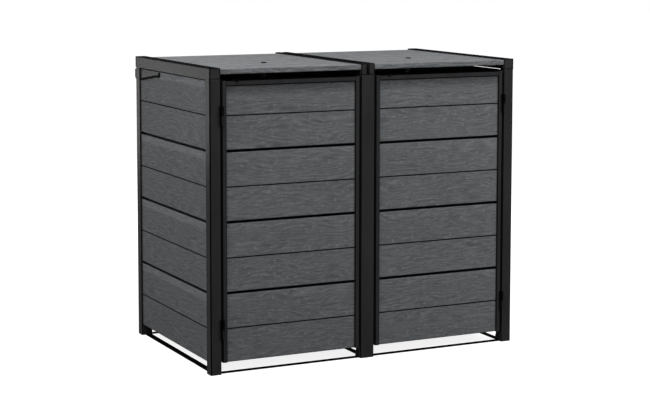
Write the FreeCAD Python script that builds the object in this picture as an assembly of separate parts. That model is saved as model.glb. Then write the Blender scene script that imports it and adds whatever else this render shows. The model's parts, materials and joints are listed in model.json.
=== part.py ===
import FreeCAD, Part
import math
import os
from FreeCAD import Vector

# A double store for two wheelie bins: a frame of black metal posts, walls, doors and
# lids of grey grooved boards, two lids that swing up at the back and two doors that
# swing out at the front. Lengths are in millimetres, X to the right, Y to the back
# and Z up. The model is drawn from the front left corner on the ground, and each
# piece is moved to the middle of the base when it is saved.

# Overall size, over the posts
WIDTH = 1370.0
DEPTH = 825.0
HEIGHT = 1200.0

# Posts: metal tube with a groove for every wall that meets them
POST = 45.0
MIDDLE_POST = 60.0
TUBE_WALL = 2.0
TUBE_RADIUS = 3.0
PLUG_FLANGE = 2.0
PLUG_LENGTH = 14.0
PLUG_FIT = 0.2

# Boards: tongue on the upper edge, slot in the lower one, a vee down both faces
BOARD = 20.0
BOARD_RECESS = 6.0
BOARD_CHAMFER = 2.5
VEE_WIDTH = 5.0
VEE_DEPTH = 3.0
TONGUE = 5.0
TONGUE_ENTRY = 6.0
TONGUE_SHOULDER = 0.8
GROOVE_DEPTH = 10.0
BOARD_FIT = 0.3
BOARD_END_GAP = 0.9

# Walls
WALL_ROWS = 4
WALL_JOINT = 8.8
GROUND_GAP = 44.6
WALL_SLOT = 4.4

# Flat strips on the ground and rails under the lids, which join the posts
BASE_STRIP = 2.0
BASE_STRIP_WIDTH = 28.0
BASE_STRIP_INSET = 15.5
BASE_TAB = 25.0
TOP_RAIL_WIDTH = 18.0
TOP_RAIL_HEIGHT = 30.0
TOP_RAIL_DROP = 3.6
SIDE_RAIL_RISE = 7.2

# Lids
LID_RAIL_HEIGHT = 46.0
LID_GAP = 8.0
LID_SKIRT = 4.0
LID_RAIL_STEP = 3.0
REST_PAD_INSET = 7.0
LID_CAP = 2.0
DECK_SINK = 5.0
DECK_ROWS = 3
DECK_JOINT = 2.0
DECK_BACK_GAP = 4.0
STIFFENER_WIDTH = 30.0
STIFFENER = 4.0
STIFFENER_END_GAP = 28.0

# Eye bolt through each lid
EYE_SHANK = 4.0
EYE_HEAD = 11.0
EYE_HEAD_RISE = 2.2
EYE_HOLE_FIT = 0.3
EYE_DROP = 29.0
EYE_RING = 7.3
EYE_WIRE = 2.25
EYE_NUT = 6.5
EYE_NUT_HEIGHT = 6.5

# Lid hinges: ears on the brackets, arms on the lids
LID_OPEN = 95.0
PIVOT_BEHIND = 11.0
PIVOT_BELOW = 27.0
LID_PIN = 3.0
LID_KNUCKLE = 6.0
PIN_FIT = 0.05
PIN_HEAD = 5.0
PIN_HEAD_LENGTH = 2.0
ARM_WIDTH = 12.0
ARM = 4.5
ARM_TOP_GAP = 10.0
END_PLATE = 4.5
EAR = 3.0
EAR_SIDE_GAP = 0.3
EAR_FOOT = 19.0
HEEL = 5.0
HEEL_GAP = 0.3

# Folded brackets that carry the lid hinges
BRACKET = 3.0
BRACKET_DROP = 7.0
BRACKET_HEIGHT = 43.0
BRACKET_CORNER = 10.0
BRACKET_REACH = 231.0
BRACKET_FULL = 17.0
BRACKET_TAPER = 169.0
BRACKET_TIP = 20.0
BRACKET_NOSE = 9.0

# Gap between a closed lid or door and what it rests on
SEAT = 0.3

# Doors
DOOR_GAP = 7.0
DOOR_FOOT = 46.0
DOOR_HEAD = 4.0
DOOR_DEPTH = 32.0
STILE = 19.0
DOOR_RAIL = 20.0
DOOR_BAR = 5.0
DOOR_BAR_HEIGHT = 30.0
BUFFER_AT = 61.0
BUFFER_WIDTH = 13.0
BUFFER_LIP = 2.0
BUFFER_TOP = 3.5
BUFFER_DROP = 6.0

# Door hinges: barrels set into pockets in the post and the stile
BARREL = 8.5
BARREL_LENGTH = 76.0
BARREL_AHEAD = 3.0
BARREL_END = 8.0
BARREL_CHAMFER = 1.0
DOOR_PIN = 4.0
POCKET_FIT = 0.1
POCKET_RUN = 0.5

# Door stops on the middle post
STOP_REACH = 15.0
STOP_PLATE = 3.0
STOP_HEIGHT = 40.0
STOP_FROM_END = 60.0
MAGNET = 3.7
MAGNET_REACH = 12.0
MAGNET_HEIGHT = 30.0

# Places worked out from the sizes
rail_low = HEIGHT - LID_RAIL_HEIGHT
cap_top = rail_low - SEAT
post_top = cap_top - PLUG_FLANGE
wall_top = rail_low - WALL_SLOT
wall_pitch = (wall_top - GROUND_GAP + WALL_JOINT) / WALL_ROWS
middle_x = WIDTH / 2
middle_left = middle_x - MIDDLE_POST / 2
rear_face = DEPTH - POST
rear_board = DEPTH - BOARD_RECESS - BOARD
board_entry = GROOVE_DEPTH - BOARD_END_GAP
top_rail_high = wall_top - TOP_RAIL_DROP
deck_top = HEIGHT - DECK_SINK
deck_low = deck_top - BOARD
deck_back = DEPTH - DECK_BACK_GAP
lid_box_low = rail_low + LID_RAIL_STEP
deck_pitch = (deck_back - LID_CAP + DECK_JOINT) / DECK_ROWS
lid_inner = middle_x - LID_GAP / 2
bay_middle = (POST + middle_left) / 2
pivot_y = DEPTH + PIVOT_BEHIND
pivot_z = rail_low - PIVOT_BELOW
door_left = POST + DOOR_GAP
door_right = middle_left - DOOR_GAP
door_top = rail_low - DOOR_HEAD
axis_x = POST + DOOR_GAP / 2
axis_y = -BARREL_AHEAD
base_middle_y = (axis_y - BARREL + pivot_y + LID_KNUCKLE) / 2
hinge_heights = [GROUND_GAP + (wall_pitch - WALL_JOINT) / 2 + row * wall_pitch
                 for row in (0, WALL_ROWS - 1)]

AXES = {"XY": (0, 1, 2), "YZ": (1, 2, 0), "XZ": (0, 2, 1)}
NORMALS = {"XY": Vector(0, 0, 1), "YZ": Vector(1, 0, 0), "XZ": Vector(0, 1, 0)}


def at(plane, u, v, w=0.0):
    """A point from two coordinates in a plane and one along its normal."""
    point = [0.0, 0.0, 0.0]
    for axis, value in zip(AXES[plane], (u, v, w)):
        point[axis] = value
    return Vector(*point)


def prism(plane, wire, low, high):
    """A solid that follows a closed wire from low to high along the plane's normal."""
    face = Part.Face(wire)
    face.translate(NORMALS[plane] * low)
    return face.extrude(NORMALS[plane] * (high - low))


def polygon(plane, points):
    """A closed wire through points in a plane."""
    corners = [at(plane, u, v) for u, v in points]
    return Part.makePolygon(corners + corners[:1])


def rounded(plane, u0, v0, u1, v1, radius):
    """A closed rectangular wire with rounded corners."""
    if radius <= 0.0:
        return polygon(plane, [(u0, v0), (u1, v0), (u1, v1), (u0, v1)])
    centres = [(u1 - radius, v0 + radius), (u1 - radius, v1 - radius),
               (u0 + radius, v1 - radius), (u0 + radius, v0 + radius)]
    edges = []
    last = None
    for quarter, (u, v) in enumerate(centres):
        start = math.radians(90 * quarter - 90)
        points = [at(plane, u + radius * math.cos(start + turn), v + radius * math.sin(start + turn))
                  for turn in (0.0, math.pi / 4, math.pi / 2)]
        if last:
            edges.append(Part.makeLine(last, points[0]))
        edges.append(Part.Arc(*points).toShape())
        last = points[2]
    edges.append(Part.makeLine(last, edges[0].Vertexes[0].Point))
    return Part.Wire(Part.__sortEdges__(edges))


def block(x0, x1, y0, y1, z0, z1):
    """A box between two corners."""
    return Part.makeBox(x1 - x0, y1 - y0, z1 - z0, Vector(x0, y0, z0))


def bar(plane, u0, v0, u1, v1, low, high):
    """A plain square tube."""
    outside = prism(plane, rounded(plane, u0, v0, u1, v1, TUBE_RADIUS / 2), low, high)
    inside = rounded(plane, u0 + TUBE_WALL, v0 + TUBE_WALL, u1 - TUBE_WALL, v1 - TUBE_WALL, 0.0)
    return outside.cut(prism(plane, inside, low, high))


def grown(limits, margin):
    """The limits of a block, with a margin on every side."""
    return [value + margin * (1 if index % 2 else -1) for index, value in enumerate(limits)]


def hollow(plane, outline, low, high, grooves, pockets, margin):
    """The space inside a tube, less the walls round its grooves and pockets."""
    u0, v0, u1, v1 = outline
    space = prism(plane, rounded(plane, u0 + margin, v0 + margin, u1 - margin, v1 - margin, 0.0),
                  low, high)
    for limits in grooves:
        space = space.cut(block(*grown(limits, margin)))
    for x, y, z0, z1, radius in pockets:
        space = space.cut(Part.makeCylinder(radius + margin, z1 - z0 + 2 * margin,
                                            Vector(x, y, z0 - margin)))
    return space


def tube(plane, outline, low, high, grooves=(), pockets=()):
    """A tube with board grooves and hinge pockets formed in its walls."""
    solid = prism(plane, rounded(plane, *outline, TUBE_RADIUS), low, high)
    solid = solid.cut(hollow(plane, outline, low, high, grooves, pockets, TUBE_WALL))
    for limits in grooves:
        solid = solid.cut(block(*limits))
    for x, y, z0, z1, radius in pockets:
        solid = solid.cut(Part.makeCylinder(radius, z1 - z0, Vector(x, y, z0)))
    return solid


def revolved(points, x, y):
    """A solid of revolution about a vertical line, from radius and height pairs."""
    wire = polygon("XZ", points)
    solid = Part.Face(wire).revolve(Vector(0, 0, 0), Vector(0, 0, 1), 360)
    solid.translate(Vector(x, y, 0))
    return solid


def mirrored(solids):
    """The same pieces on the other side of the store."""
    return [solid.mirror(Vector(middle_x, 0, 0), Vector(1, 0, 0)) for solid in solids]


def save(name, solids):
    """Write one node, moved so that the middle of the base is the origin."""
    shape = Part.makeCompound(solids) if len(solids) > 1 else solids[0].copy()
    shape.translate(Vector(-middle_x, -base_middle_y, 0))
    shape.exportStep("parts/" + name + ".step")
    print(name, len(shape.Solids), round(shape.Volume))


def board_outline(near, low, high, vee, slot, tongue, joint):
    """Board section as pairs of thickness and width, tongue up and slot down."""
    far = near + BOARD
    half = TONGUE / 2
    chamfer = BOARD_CHAMFER
    centre = far - chamfer - TONGUE_SHOULDER - BOARD_FIT - half
    points = [(near + chamfer, low), (near, low + chamfer), (near, vee - VEE_WIDTH / 2),
              (near + VEE_DEPTH, vee), (near, vee + VEE_WIDTH / 2), (near, high - chamfer),
              (near + chamfer, high)]
    if tongue:
        tip = high + joint + TONGUE_ENTRY
        points += [(centre - half, high), (centre - half, tip), (centre + half, tip),
                   (centre + half, high)]
    points += [(far - chamfer, high), (far, high - chamfer), (far, vee + VEE_WIDTH / 2),
               (far - VEE_DEPTH, vee), (far, vee - VEE_WIDTH / 2), (far, low + chamfer),
               (far - chamfer, low)]
    if slot:
        reach = half + BOARD_FIT
        points += [(centre + reach, low), (centre + reach, low + TONGUE_ENTRY),
                   (centre - reach, low + TONGUE_ENTRY), (centre - reach, low)]
    return points


def upright_boards(plane, near, start, end, foot, head):
    """A wall of boards from foot to head, with its joints at the walls' heights."""
    boards = []
    for row in range(WALL_ROWS):
        low = GROUND_GAP + row * wall_pitch
        high = low + wall_pitch - WALL_JOINT
        vee = (low + high) / 2
        first = row == 0
        last = row == WALL_ROWS - 1
        points = board_outline(near, foot if first else low, head if last else high, vee,
                               not first, not last, WALL_JOINT)
        boards.append(prism(plane, polygon(plane, points), start, end))
    return boards


def wall_groove(x0, x1, y0, y1):
    """Limits of a groove for wall boards, open at the top of a post."""
    return [x0, x1, y0, y1, GROUND_GAP, post_top + 1]


def door_pockets(own_above):
    """Pockets for the hinge barrels: the piece's own barrel fits, the other one runs."""
    pockets = []
    for height in hinge_heights:
        half = BARREL_LENGTH / 2
        below = POCKET_RUN if own_above else POCKET_FIT
        above = POCKET_FIT if own_above else POCKET_RUN
        pockets.append((axis_x, axis_y, height - half - below, height, BARREL + below))
        pockets.append((axis_x, axis_y, height, height + half + above, BARREL + above))
    return pockets


side_groove = (BOARD_RECESS - BOARD_FIT, BOARD_RECESS + BOARD + BOARD_FIT)
rear_groove = (rear_board - BOARD_FIT, rear_board + BOARD + BOARD_FIT)
front_side_groove = wall_groove(*side_groove, POST - GROOVE_DEPTH, POST + 1)
rear_side_groove = wall_groove(*side_groove, rear_face - 1, rear_face + GROOVE_DEPTH)
rear_left_groove = wall_groove(POST - GROOVE_DEPTH, POST + 1, *rear_groove)
middle_grooves = [wall_groove(middle_left - 1, middle_left + GROOVE_DEPTH, *rear_groove),
                  wall_groove(WIDTH - middle_left - GROOVE_DEPTH, WIDTH - middle_left + 1,
                              *rear_groove)]

FRONT_LEFT = ((0, 0, POST, POST), [front_side_groove], door_pockets(False))
FRONT_MIDDLE = ((middle_left, 0, WIDTH - middle_left, POST), [], [])
REAR_LEFT = ((0, rear_face, POST, DEPTH), [rear_side_groove, rear_left_groove], [])
REAR_MIDDLE = ((middle_left, rear_face, WIDTH - middle_left, DEPTH), middle_grooves, [])


def post(plan):
    """One post, between its foot and its cap."""
    outline, grooves, pockets = plan
    return tube("XY", outline, PLUG_FLANGE, post_top, grooves, pockets)


def plug(plan, flange_low, stem_low, stem_high):
    """Plastic plug for a post's end: a flange as wide as the post and a hollow stem."""
    outline, grooves, _ = plan
    flange = prism("XY", rounded("XY", *outline, TUBE_RADIUS), flange_low,
                   flange_low + PLUG_FLANGE)
    reach = (stem_low, stem_high)
    stem = hollow("XY", outline, *reach, grooves, [], TUBE_WALL + PLUG_FIT)
    stem = stem.cut(hollow("XY", outline, *reach, grooves, [], 2 * TUBE_WALL + PLUG_FIT))
    return flange.fuse(stem).removeSplitter()


def frame_posts():
    """Six posts with their caps and feet."""
    corner_plans = {"front_left_post": FRONT_LEFT, "rear_left_post": REAR_LEFT}
    middle_plans = {"front_middle_post": FRONT_MIDDLE, "rear_middle_post": REAR_MIDDLE}
    caps = []
    feet = []
    for name, plan in {**corner_plans, **middle_plans}.items():
        save(name, [post(plan)])
        cap = plug(plan, post_top, post_top - PLUG_LENGTH, post_top)
        foot = plug(plan, 0.0, PLUG_FLANGE, PLUG_FLANGE + PLUG_LENGTH)
        caps.append(cap)
        feet.append(foot)
        if name in corner_plans:
            save(name.replace("left", "right"), mirrored([post(plan)]))
            caps += mirrored([cap])
            feet += mirrored([foot])
    save("post_caps", caps)
    save("post_feet", feet)


def base_strip(plane, start, end, near):
    """Flat strip on the ground between two posts, with an upright tab against each."""
    thick = BASE_STRIP
    points = [(start, 0), (end, 0), (end, BASE_TAB), (end - thick, BASE_TAB),
              (end - thick, thick), (start + thick, thick), (start + thick, BASE_TAB),
              (start, BASE_TAB)]
    return prism(plane, polygon(plane, points), near, near + BASE_STRIP_WIDTH)


def frame_rails():
    """Strips along the ground and rails under the tops of the walls."""
    inset = BASE_STRIP_INSET
    base = base_strip("YZ", POST, rear_face, inset)
    save("left_bottom_rail", [base])
    save("right_bottom_rail", mirrored([base]))
    save("middle_bottom_rail", [base_strip("YZ", POST, rear_face, middle_x - BASE_STRIP_WIDTH / 2)])
    threshold = base_strip("XZ", POST, middle_left, inset)
    save("front_thresholds", [threshold] + mirrored([threshold]))
    rear_bar = base_strip("XZ", POST, middle_left, DEPTH - inset - BASE_STRIP_WIDTH)
    save("rear_bottom_bars", [rear_bar] + mirrored([rear_bar]))
    heights = (top_rail_high - TOP_RAIL_HEIGHT, top_rail_high)
    near = BOARD_RECESS + BOARD
    far = near + TOP_RAIL_WIDTH
    side_high = top_rail_high + SIDE_RAIL_RISE
    top = bar("XZ", near, heights[0], far, side_high, POST, rear_face)
    save("left_top_rail", [top])
    save("right_top_rail", mirrored([top]))
    low = middle_x - TOP_RAIL_WIDTH / 2
    save("middle_top_rail", [bar("XZ", low, heights[0], low + TOP_RAIL_WIDTH, heights[1],
                                 POST, rear_face)])
    rear = bar("YZ", rear_board - TOP_RAIL_WIDTH, heights[0], rear_board, heights[1],
               POST, middle_left)
    save("rear_top_rails", [rear] + mirrored([rear]))


def frame_walls():
    """Side walls and the two bays of the rear wall."""
    side = upright_boards("XZ", BOARD_RECESS, POST - board_entry, rear_face + board_entry,
                          GROUND_GAP, wall_top)
    save("left_wall_boards", side)
    save("right_wall_boards", mirrored(side))
    rear = upright_boards("YZ", rear_board, POST - board_entry, middle_left + board_entry,
                          GROUND_GAP, wall_top)
    save("rear_left_boards", rear)
    save("rear_right_boards", mirrored(rear))


def ears(arm_middle):
    """Two ears that hold the pin of one lid hinge, on the bracket behind the post."""
    low_turn = math.radians(-40)
    tip = at("YZ", pivot_y + LID_KNUCKLE, pivot_z)
    low = at("YZ", pivot_y + LID_KNUCKLE * math.cos(low_turn),
             pivot_z + LID_KNUCKLE * math.sin(low_turn))
    high = at("YZ", pivot_y, pivot_z + LID_KNUCKLE)
    foot = at("YZ", DEPTH, pivot_z - EAR_FOOT)
    root = at("YZ", DEPTH, pivot_z + LID_KNUCKLE)
    wire = Part.Wire([Part.makeLine(foot, low), Part.Arc(low, tip, high).toShape(),
                      Part.makeLine(high, root), Part.makeLine(root, foot)])
    inner = ARM_WIDTH / 2 + EAR_SIDE_GAP
    return [prism("YZ", wire, start, start + EAR)
            for start in (arm_middle - inner - EAR, arm_middle + inner)]


def drill(x0, x1, radius):
    """A cylinder on the lid hinge axis."""
    return Part.makeCylinder(radius, x1 - x0, Vector(x0, pivot_y, pivot_z), Vector(1, 0, 0))


def lid_brackets():
    """Folded bracket on each corner post, flat bracket on the middle post, and the pins."""
    high = rail_low - BRACKET_DROP
    low = high - BRACKET_HEIGHT
    rear = DEPTH + BRACKET
    inner = BOARD_RECESS
    fold = [(POST, DEPTH), (POST, rear), (-BRACKET, rear), (-BRACKET, rear_face - BRACKET),
            (inner - BRACKET, rear_face - BRACKET), (inner - BRACKET, 0), (inner, 0),
            (inner, rear_face), (0, rear_face), (0, DEPTH)]
    folded = prism("XY", polygon("XY", fold), low, high)
    front = rear_face - BRACKET_REACH
    side = polygon("YZ", [(front, high), (front, high - BRACKET_TIP),
                          (rear_face - BRACKET_FULL - BRACKET_TAPER, high - BRACKET_TIP),
                          (rear_face - BRACKET_FULL, low), (rear - BRACKET_CORNER, low),
                          (rear, low + BRACKET_CORNER), (rear, high)])
    blade = prism("YZ", side, -BRACKET, POST)
    nose_edges = [edge for edge in blade.Edges
                  if all(abs(vertex.Y - front) < 0.01 for vertex in edge.Vertexes)
                  and abs(edge.Vertexes[0].X - edge.Vertexes[1].X) > 1]
    blade = blade.makeFillet(BRACKET_NOSE, nose_edges)
    outer = folded.common(blade)
    arm_at = POST / 2
    outer = outer.fuse(ears(arm_at)).removeSplitter().cut(drill(-BRACKET, POST, LID_PIN + PIN_FIT))
    save("left_lid_bracket", [outer])
    save("right_lid_bracket", mirrored([outer]))
    inner_at = (middle_left + lid_inner) / 2
    flange = block(middle_left, WIDTH - middle_left, DEPTH, rear, low, high)
    near = ears(inner_at)
    middle = flange.fuse(near + mirrored(near)).removeSplitter()
    middle = middle.cut(drill(middle_left, WIDTH - middle_left, LID_PIN + PIN_FIT))
    save("middle_lid_bracket", [middle])
    reach = ARM_WIDTH / 2 + EAR_SIDE_GAP + EAR
    pins = []
    for place in (arm_at, inner_at):
        shank = drill(place - reach, place + reach + PIN_HEAD_LENGTH, LID_PIN)
        head = drill(place - reach - PIN_HEAD_LENGTH, place - reach, PIN_HEAD)
        pins.append(shank.fuse(head).removeSplitter())
    save("lid_hinge_pins", pins + mirrored(pins))


def barrel(height, above):
    """One half of a door hinge barrel, with a blind bore for the pin."""
    half = BARREL_LENGTH / 2
    chamfer = BARREL_CHAMFER
    bore = DOOR_PIN + PIN_FIT
    gap = SEAT / 2
    sign = 1 if above else -1
    points = [(bore, gap), (BARREL, gap), (BARREL, half - chamfer), (BARREL - chamfer, half),
              (0, half), (0, half - BARREL_END), (bore, half - BARREL_END)]
    return revolved([(r, height + sign * z) for r, z in points], axis_x, axis_y)


def door_hinge_parts():
    """Lower barrels on the corner posts and their pins."""
    lower = [barrel(height, False) for height in hinge_heights]
    save("door_hinge_lower_barrels", lower + mirrored(lower))
    reach = BARREL_LENGTH / 2 - BARREL_END
    pins = [Part.makeCylinder(DOOR_PIN, 2 * reach - POCKET_RUN,
                              Vector(axis_x, axis_y, height - reach)) for height in hinge_heights]
    save("door_hinge_pins", pins + mirrored(pins))


def door_stops():
    """Plates on the middle post that stop the doors, each with a magnet."""
    plate_y = DOOR_DEPTH + SEAT + MAGNET
    plates = []
    magnets = []
    for height in (DOOR_FOOT + STOP_FROM_END, door_top - STOP_FROM_END):
        plates.append(block(middle_left - STOP_REACH, middle_left, plate_y, plate_y + STOP_PLATE,
                            height - STOP_HEIGHT / 2, height + STOP_HEIGHT / 2))
        magnets.append(block(middle_left - STOP_REACH, middle_left - STOP_REACH + MAGNET_REACH,
                             DOOR_DEPTH + SEAT, plate_y, height - MAGNET_HEIGHT / 2,
                             height + MAGNET_HEIGHT / 2))
    save("door_stop_plates", plates + mirrored(plates))
    save("door_magnets", magnets + mirrored(magnets))


def buffer_clip(door_edge):
    """Rubber buffer clipped over the top of a door, at a set distance from its left edge."""
    left = door_edge + BUFFER_AT - BUFFER_WIDTH / 2
    lip = BUFFER_LIP
    outside = rounded("YZ", -lip, door_top - BUFFER_DROP, DOOR_DEPTH + lip,
                      door_top + BUFFER_TOP, lip / 2)
    clip = prism("YZ", outside, left, left + BUFFER_WIDTH)
    return clip.cut(block(left, left + BUFFER_WIDTH, 0, DOOR_DEPTH, 0, door_top))


def doors():
    """Two doors, one the mirror image of the other but for the buffer."""
    groove_y = (BOARD_RECESS - BOARD_FIT, BOARD_RECESS + BOARD + BOARD_FIT)
    outline = (door_left, 0, door_left + STILE, DOOR_DEPTH)
    mouth = door_left + STILE
    groove = [mouth - GROOVE_DEPTH, mouth + 1, *groove_y, DOOR_FOOT - 1, door_top - DOOR_RAIL]
    hinge_stile = tube("XY", outline, DOOR_FOOT, door_top, [groove], door_pockets(True))
    free_mouth = door_right - STILE
    outline = (free_mouth, 0, door_right, DOOR_DEPTH)
    groove = [free_mouth - 1, free_mouth + GROOVE_DEPTH, *groove_y, DOOR_FOOT - 1,
              door_top - DOOR_RAIL]
    free_stile = tube("XY", outline, DOOR_FOOT, door_top, [groove])
    inside = (mouth, free_mouth)
    rail_bottom = door_top - DOOR_RAIL
    groove = [inside[0], inside[1], *groove_y, rail_bottom - 1, rail_bottom + GROOVE_DEPTH]
    outline = (0, rail_bottom, DOOR_DEPTH, door_top)
    rail = tube("YZ", outline, *inside, [groove])
    boards = upright_boards("YZ", BOARD_RECESS, inside[0] - board_entry, inside[1] + board_entry,
                            DOOR_FOOT, rail_bottom)
    bar_y = BOARD_RECESS + BOARD
    bottom_bar = block(*inside, bar_y, bar_y + DOOR_BAR, DOOR_FOOT, DOOR_FOOT + DOOR_BAR_HEIGHT)
    barrels = [barrel(height, True) for height in hinge_heights]
    pieces = {"hinge_stile": [hinge_stile], "free_stile": [free_stile], "top_rail": [rail],
              "boards": boards, "bottom_bar": [bottom_bar], "hinge_barrels": barrels}
    for name, solids in pieces.items():
        save("left_door_" + name, solids)
        save("right_door_" + name, mirrored(solids))
    save("left_door_buffer", [buffer_clip(door_left)])
    save("right_door_buffer", [buffer_clip(WIDTH - door_right)])


def lid_arm(x0, x1):
    """Plate on the rear end of a lid rail, with the arm, knuckle and heel of its hinge."""
    middle = (x0 + x1) / 2
    sides = (middle - ARM_WIDTH / 2, middle + ARM_WIDTH / 2)
    front = DEPTH + END_PLATE
    plate = prism("XZ", rounded("XZ", x0, rail_low, x1, HEIGHT, TUBE_RADIUS), DEPTH, front)
    arm = block(*sides, front, front + ARM, pivot_z, HEIGHT - ARM_TOP_GAP)
    knuckle = drill(*sides, LID_KNUCKLE)
    reach = PIVOT_BEHIND - BRACKET - HEEL_GAP
    heel = block(*sides, pivot_y - reach, pivot_y, pivot_z - HEEL, pivot_z)
    heel.rotate(Vector(0, pivot_y, pivot_z), Vector(1, 0, 0), LID_OPEN)
    solid = plate.fuse([arm, knuckle, heel]).removeSplitter()
    return solid.cut(drill(*sides, LID_PIN + PIN_FIT))


def eye_bolt(joint_y):
    """Eye bolt with a domed head above the lid, and its nut below."""
    ring_z = deck_low - EYE_DROP
    crown = EYE_HEAD_RISE
    points = [(0, ring_z + EYE_RING), (EYE_SHANK, ring_z + EYE_RING), (EYE_SHANK, deck_top),
              (EYE_HEAD, deck_top), (EYE_HEAD, deck_top + crown / 2),
              (EYE_HEAD * 0.8, deck_top + crown), (0, deck_top + crown)]
    bolt = revolved(points, bay_middle, joint_y)
    wire = [(EYE_RING + EYE_WIRE * math.cos(math.radians(45 * side)),
             EYE_WIRE * math.sin(math.radians(45 * side))) for side in range(8)]
    ring = Part.Face(polygon("XY", wire)).revolve(Vector(0, 0, 0), Vector(0, 1, 0), 360)
    ring.translate(Vector(bay_middle, joint_y, ring_z))
    bolt = bolt.fuse(ring).removeSplitter()
    nut_top = deck_low - STIFFENER
    across = EYE_NUT / math.cos(math.radians(30))
    corners = [(bay_middle + across * math.cos(math.radians(60 * side)),
                joint_y + across * math.sin(math.radians(60 * side))) for side in range(6)]
    nut = prism("XY", polygon("XY", corners), nut_top - EYE_NUT_HEIGHT, nut_top)
    bore = Part.makeCylinder(EYE_SHANK + PIN_FIT, EYE_NUT_HEIGHT,
                             Vector(bay_middle, joint_y, nut_top - EYE_NUT_HEIGHT))
    return [bolt, nut.cut(bore)]


def rail_cap(x0, x1):
    """Cap on the front end of a lid rail."""
    return prism("XZ", rounded("XZ", x0, rail_low, x1, HEIGHT, TUBE_RADIUS), 0, LID_CAP)


def lids():
    """Two lids, one the mirror image of the other."""
    length = (LID_CAP, DEPTH)
    box_low = lid_box_low
    groove_z = (deck_low, deck_top + BOARD_FIT)
    groove = [POST - GROOVE_DEPTH, POST + 1, *length, *groove_z]
    outer = tube("XZ", (0, box_low, POST, HEIGHT), *length, [groove])
    skirt = block(0, LID_SKIRT, *length, rail_low, box_low + TUBE_RADIUS)
    core = hollow("XZ", (0, box_low, POST, HEIGHT), *length, [groove], [], TUBE_WALL)
    outer = outer.fuse(skirt.cut(core)).removeSplitter()
    groove = [middle_left - 1, middle_left + GROOVE_DEPTH, *length, *groove_z]
    inner = tube("XZ", (middle_left, rail_low, lid_inner, HEIGHT), *length, [groove])
    joint_y = LID_CAP + deck_pitch - DECK_JOINT / 2
    hole = Part.makeCylinder(EYE_SHANK + EYE_HOLE_FIT, HEIGHT, Vector(bay_middle, joint_y, 0))
    boards = []
    for row in range(DECK_ROWS):
        low = LID_CAP + row * deck_pitch
        high = low + deck_pitch - DECK_JOINT
        points = board_outline(deck_low, low, high, (low + high) / 2, row > 0,
                               row < DECK_ROWS - 1, DECK_JOINT)
        wire = polygon("YZ", [(y, z) for z, y in points])
        board = prism("YZ", wire, POST - board_entry, middle_left + board_entry)
        boards.append(board.cut(hole))
    half = STIFFENER_WIDTH / 2
    stiffener = block(bay_middle - half, bay_middle + half, LID_CAP + STIFFENER_END_GAP,
                      deck_back - STIFFENER_END_GAP, deck_low - STIFFENER, deck_low).cut(hole)
    pad_reach = (REST_PAD_INSET, POST - REST_PAD_INSET)
    pads = [block(*pad_reach, end + pad_reach[0], end + pad_reach[1], rail_low, box_low)
            for end in (0, rear_face)]
    pieces = {"outer_rail": [outer], "inner_rail": [inner], "boards": boards,
              "stiffener": [stiffener], "eye_bolt": eye_bolt(joint_y),
              "rail_caps": [rail_cap(0, POST), rail_cap(middle_left, lid_inner)],
              "rest_pads": pads,
              "hinge_arms": [lid_arm(0, POST), lid_arm(middle_left, lid_inner)]}
    for name, solids in pieces.items():
        save("left_lid_" + name, solids)
        save("right_lid_" + name, mirrored(solids))


os.makedirs("parts", exist_ok=True)
frame_posts()
frame_rails()
frame_walls()
lid_brackets()
door_hinge_parts()
door_stops()
doors()
lids()
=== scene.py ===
# %% [markdown]
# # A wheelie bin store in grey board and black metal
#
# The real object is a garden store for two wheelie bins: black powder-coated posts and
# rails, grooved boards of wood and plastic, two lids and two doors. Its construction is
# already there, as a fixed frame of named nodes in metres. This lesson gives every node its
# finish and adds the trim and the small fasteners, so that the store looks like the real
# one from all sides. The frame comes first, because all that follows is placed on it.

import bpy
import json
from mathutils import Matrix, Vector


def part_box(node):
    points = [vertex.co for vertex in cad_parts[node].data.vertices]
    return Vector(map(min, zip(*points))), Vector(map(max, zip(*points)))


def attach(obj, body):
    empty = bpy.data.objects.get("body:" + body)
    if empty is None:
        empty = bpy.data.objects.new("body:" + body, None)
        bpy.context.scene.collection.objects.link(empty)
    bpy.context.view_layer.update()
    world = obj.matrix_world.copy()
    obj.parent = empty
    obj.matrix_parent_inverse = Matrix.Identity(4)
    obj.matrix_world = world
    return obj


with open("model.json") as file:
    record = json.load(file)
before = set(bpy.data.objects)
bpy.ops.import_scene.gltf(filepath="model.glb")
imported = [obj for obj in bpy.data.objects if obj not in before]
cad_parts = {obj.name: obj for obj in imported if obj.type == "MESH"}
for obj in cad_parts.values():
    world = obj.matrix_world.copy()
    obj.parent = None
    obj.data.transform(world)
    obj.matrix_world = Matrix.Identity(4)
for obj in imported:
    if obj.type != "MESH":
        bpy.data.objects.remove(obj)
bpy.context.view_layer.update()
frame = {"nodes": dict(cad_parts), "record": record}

# %% [markdown]
# ## Libraries and units
#
# Meshes are made with bmesh and everything else with bpy. The frame is in metres, but
# boards and fittings are drawn in millimetres. The scene's units could be changed, but
# one name that turns millimetres into metres is plainer.

# %% Libraries and units
import json
import math
import bmesh
import bpy
from mathutils import Matrix, Vector

MM = 0.001
scene = bpy.context.scene

# %% [markdown]
# ## The camera
#
# The picture looks at the front from the left, from above the lids, with a long lens.
# Straight edges of posts and boards gave the camera's place and angle. A camera can be
# aimed with a constraint, but a rotation worked out from two angles is easier to check.
# The lens is shifted down, because the picture was cropped below its optical axis.

# %% Camera
IMAGE_WIDTH = 650
IMAGE_HEIGHT = 410
FOCAL_PIXELS = 1681.0
AXIS_ROW = 114.31
SENSOR_WIDTH = 36.0
CAMERA_PLACE = Vector((-3.1170, -6.36455, 1.6494))
CAMERA_AZIMUTH = math.radians(-26.180)
CAMERA_ELEVATION = math.radians(5.569)
CAMERA_ROLL = math.radians(0.055)


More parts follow.
